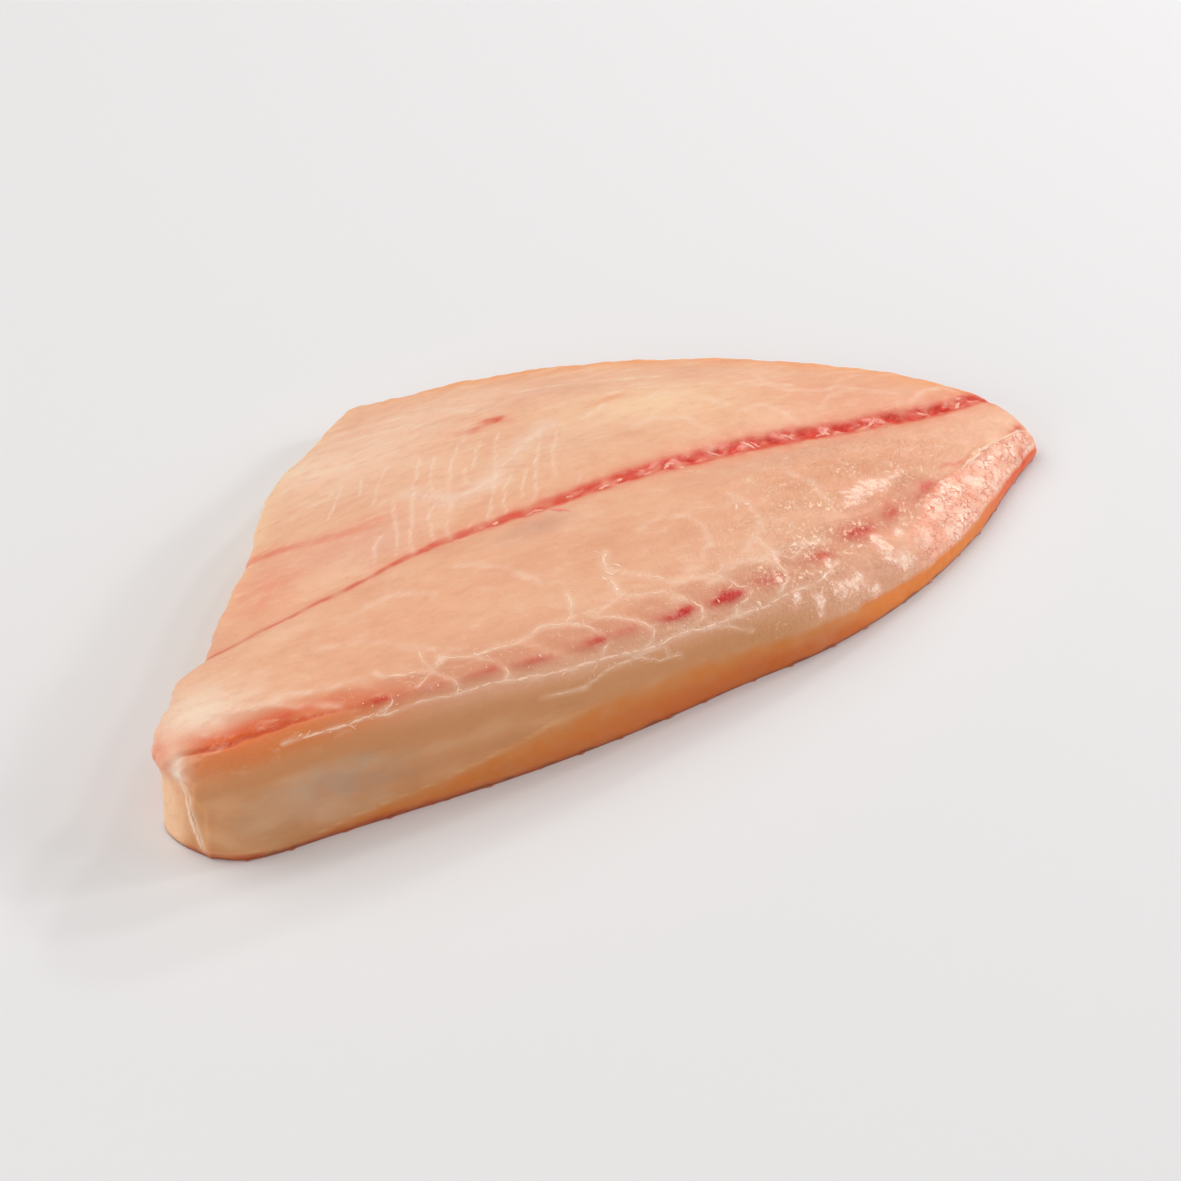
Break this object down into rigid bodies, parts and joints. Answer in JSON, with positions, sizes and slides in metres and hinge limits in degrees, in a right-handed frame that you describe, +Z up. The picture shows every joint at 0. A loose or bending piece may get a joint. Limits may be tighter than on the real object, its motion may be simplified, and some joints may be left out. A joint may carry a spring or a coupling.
{
  "type": "pompano fillet",
  "caption": "Raw pompano fillet, skin on, lying flesh side up: a tapered slab with a square-cut back, a thin belly edge and a torn red bloodline.",
  "frame": {"origin": "on the surface that the fillet lies on, under the middle of its plan", "axes": "+X along the fish from the head end to the tail, +Y from the back to the belly, +Z up out of the cut flesh side"},
  "size_m": [0.2144, 0.1158, 0.026],
  "materials": {
    "raw_flesh": "wet, translucent raw flesh",
    "skin": "wet, silvery, finely scaled"
  },
  "bodies": {
    "root": {"fillet": "raw_flesh"}
  },
  "joints": []
}
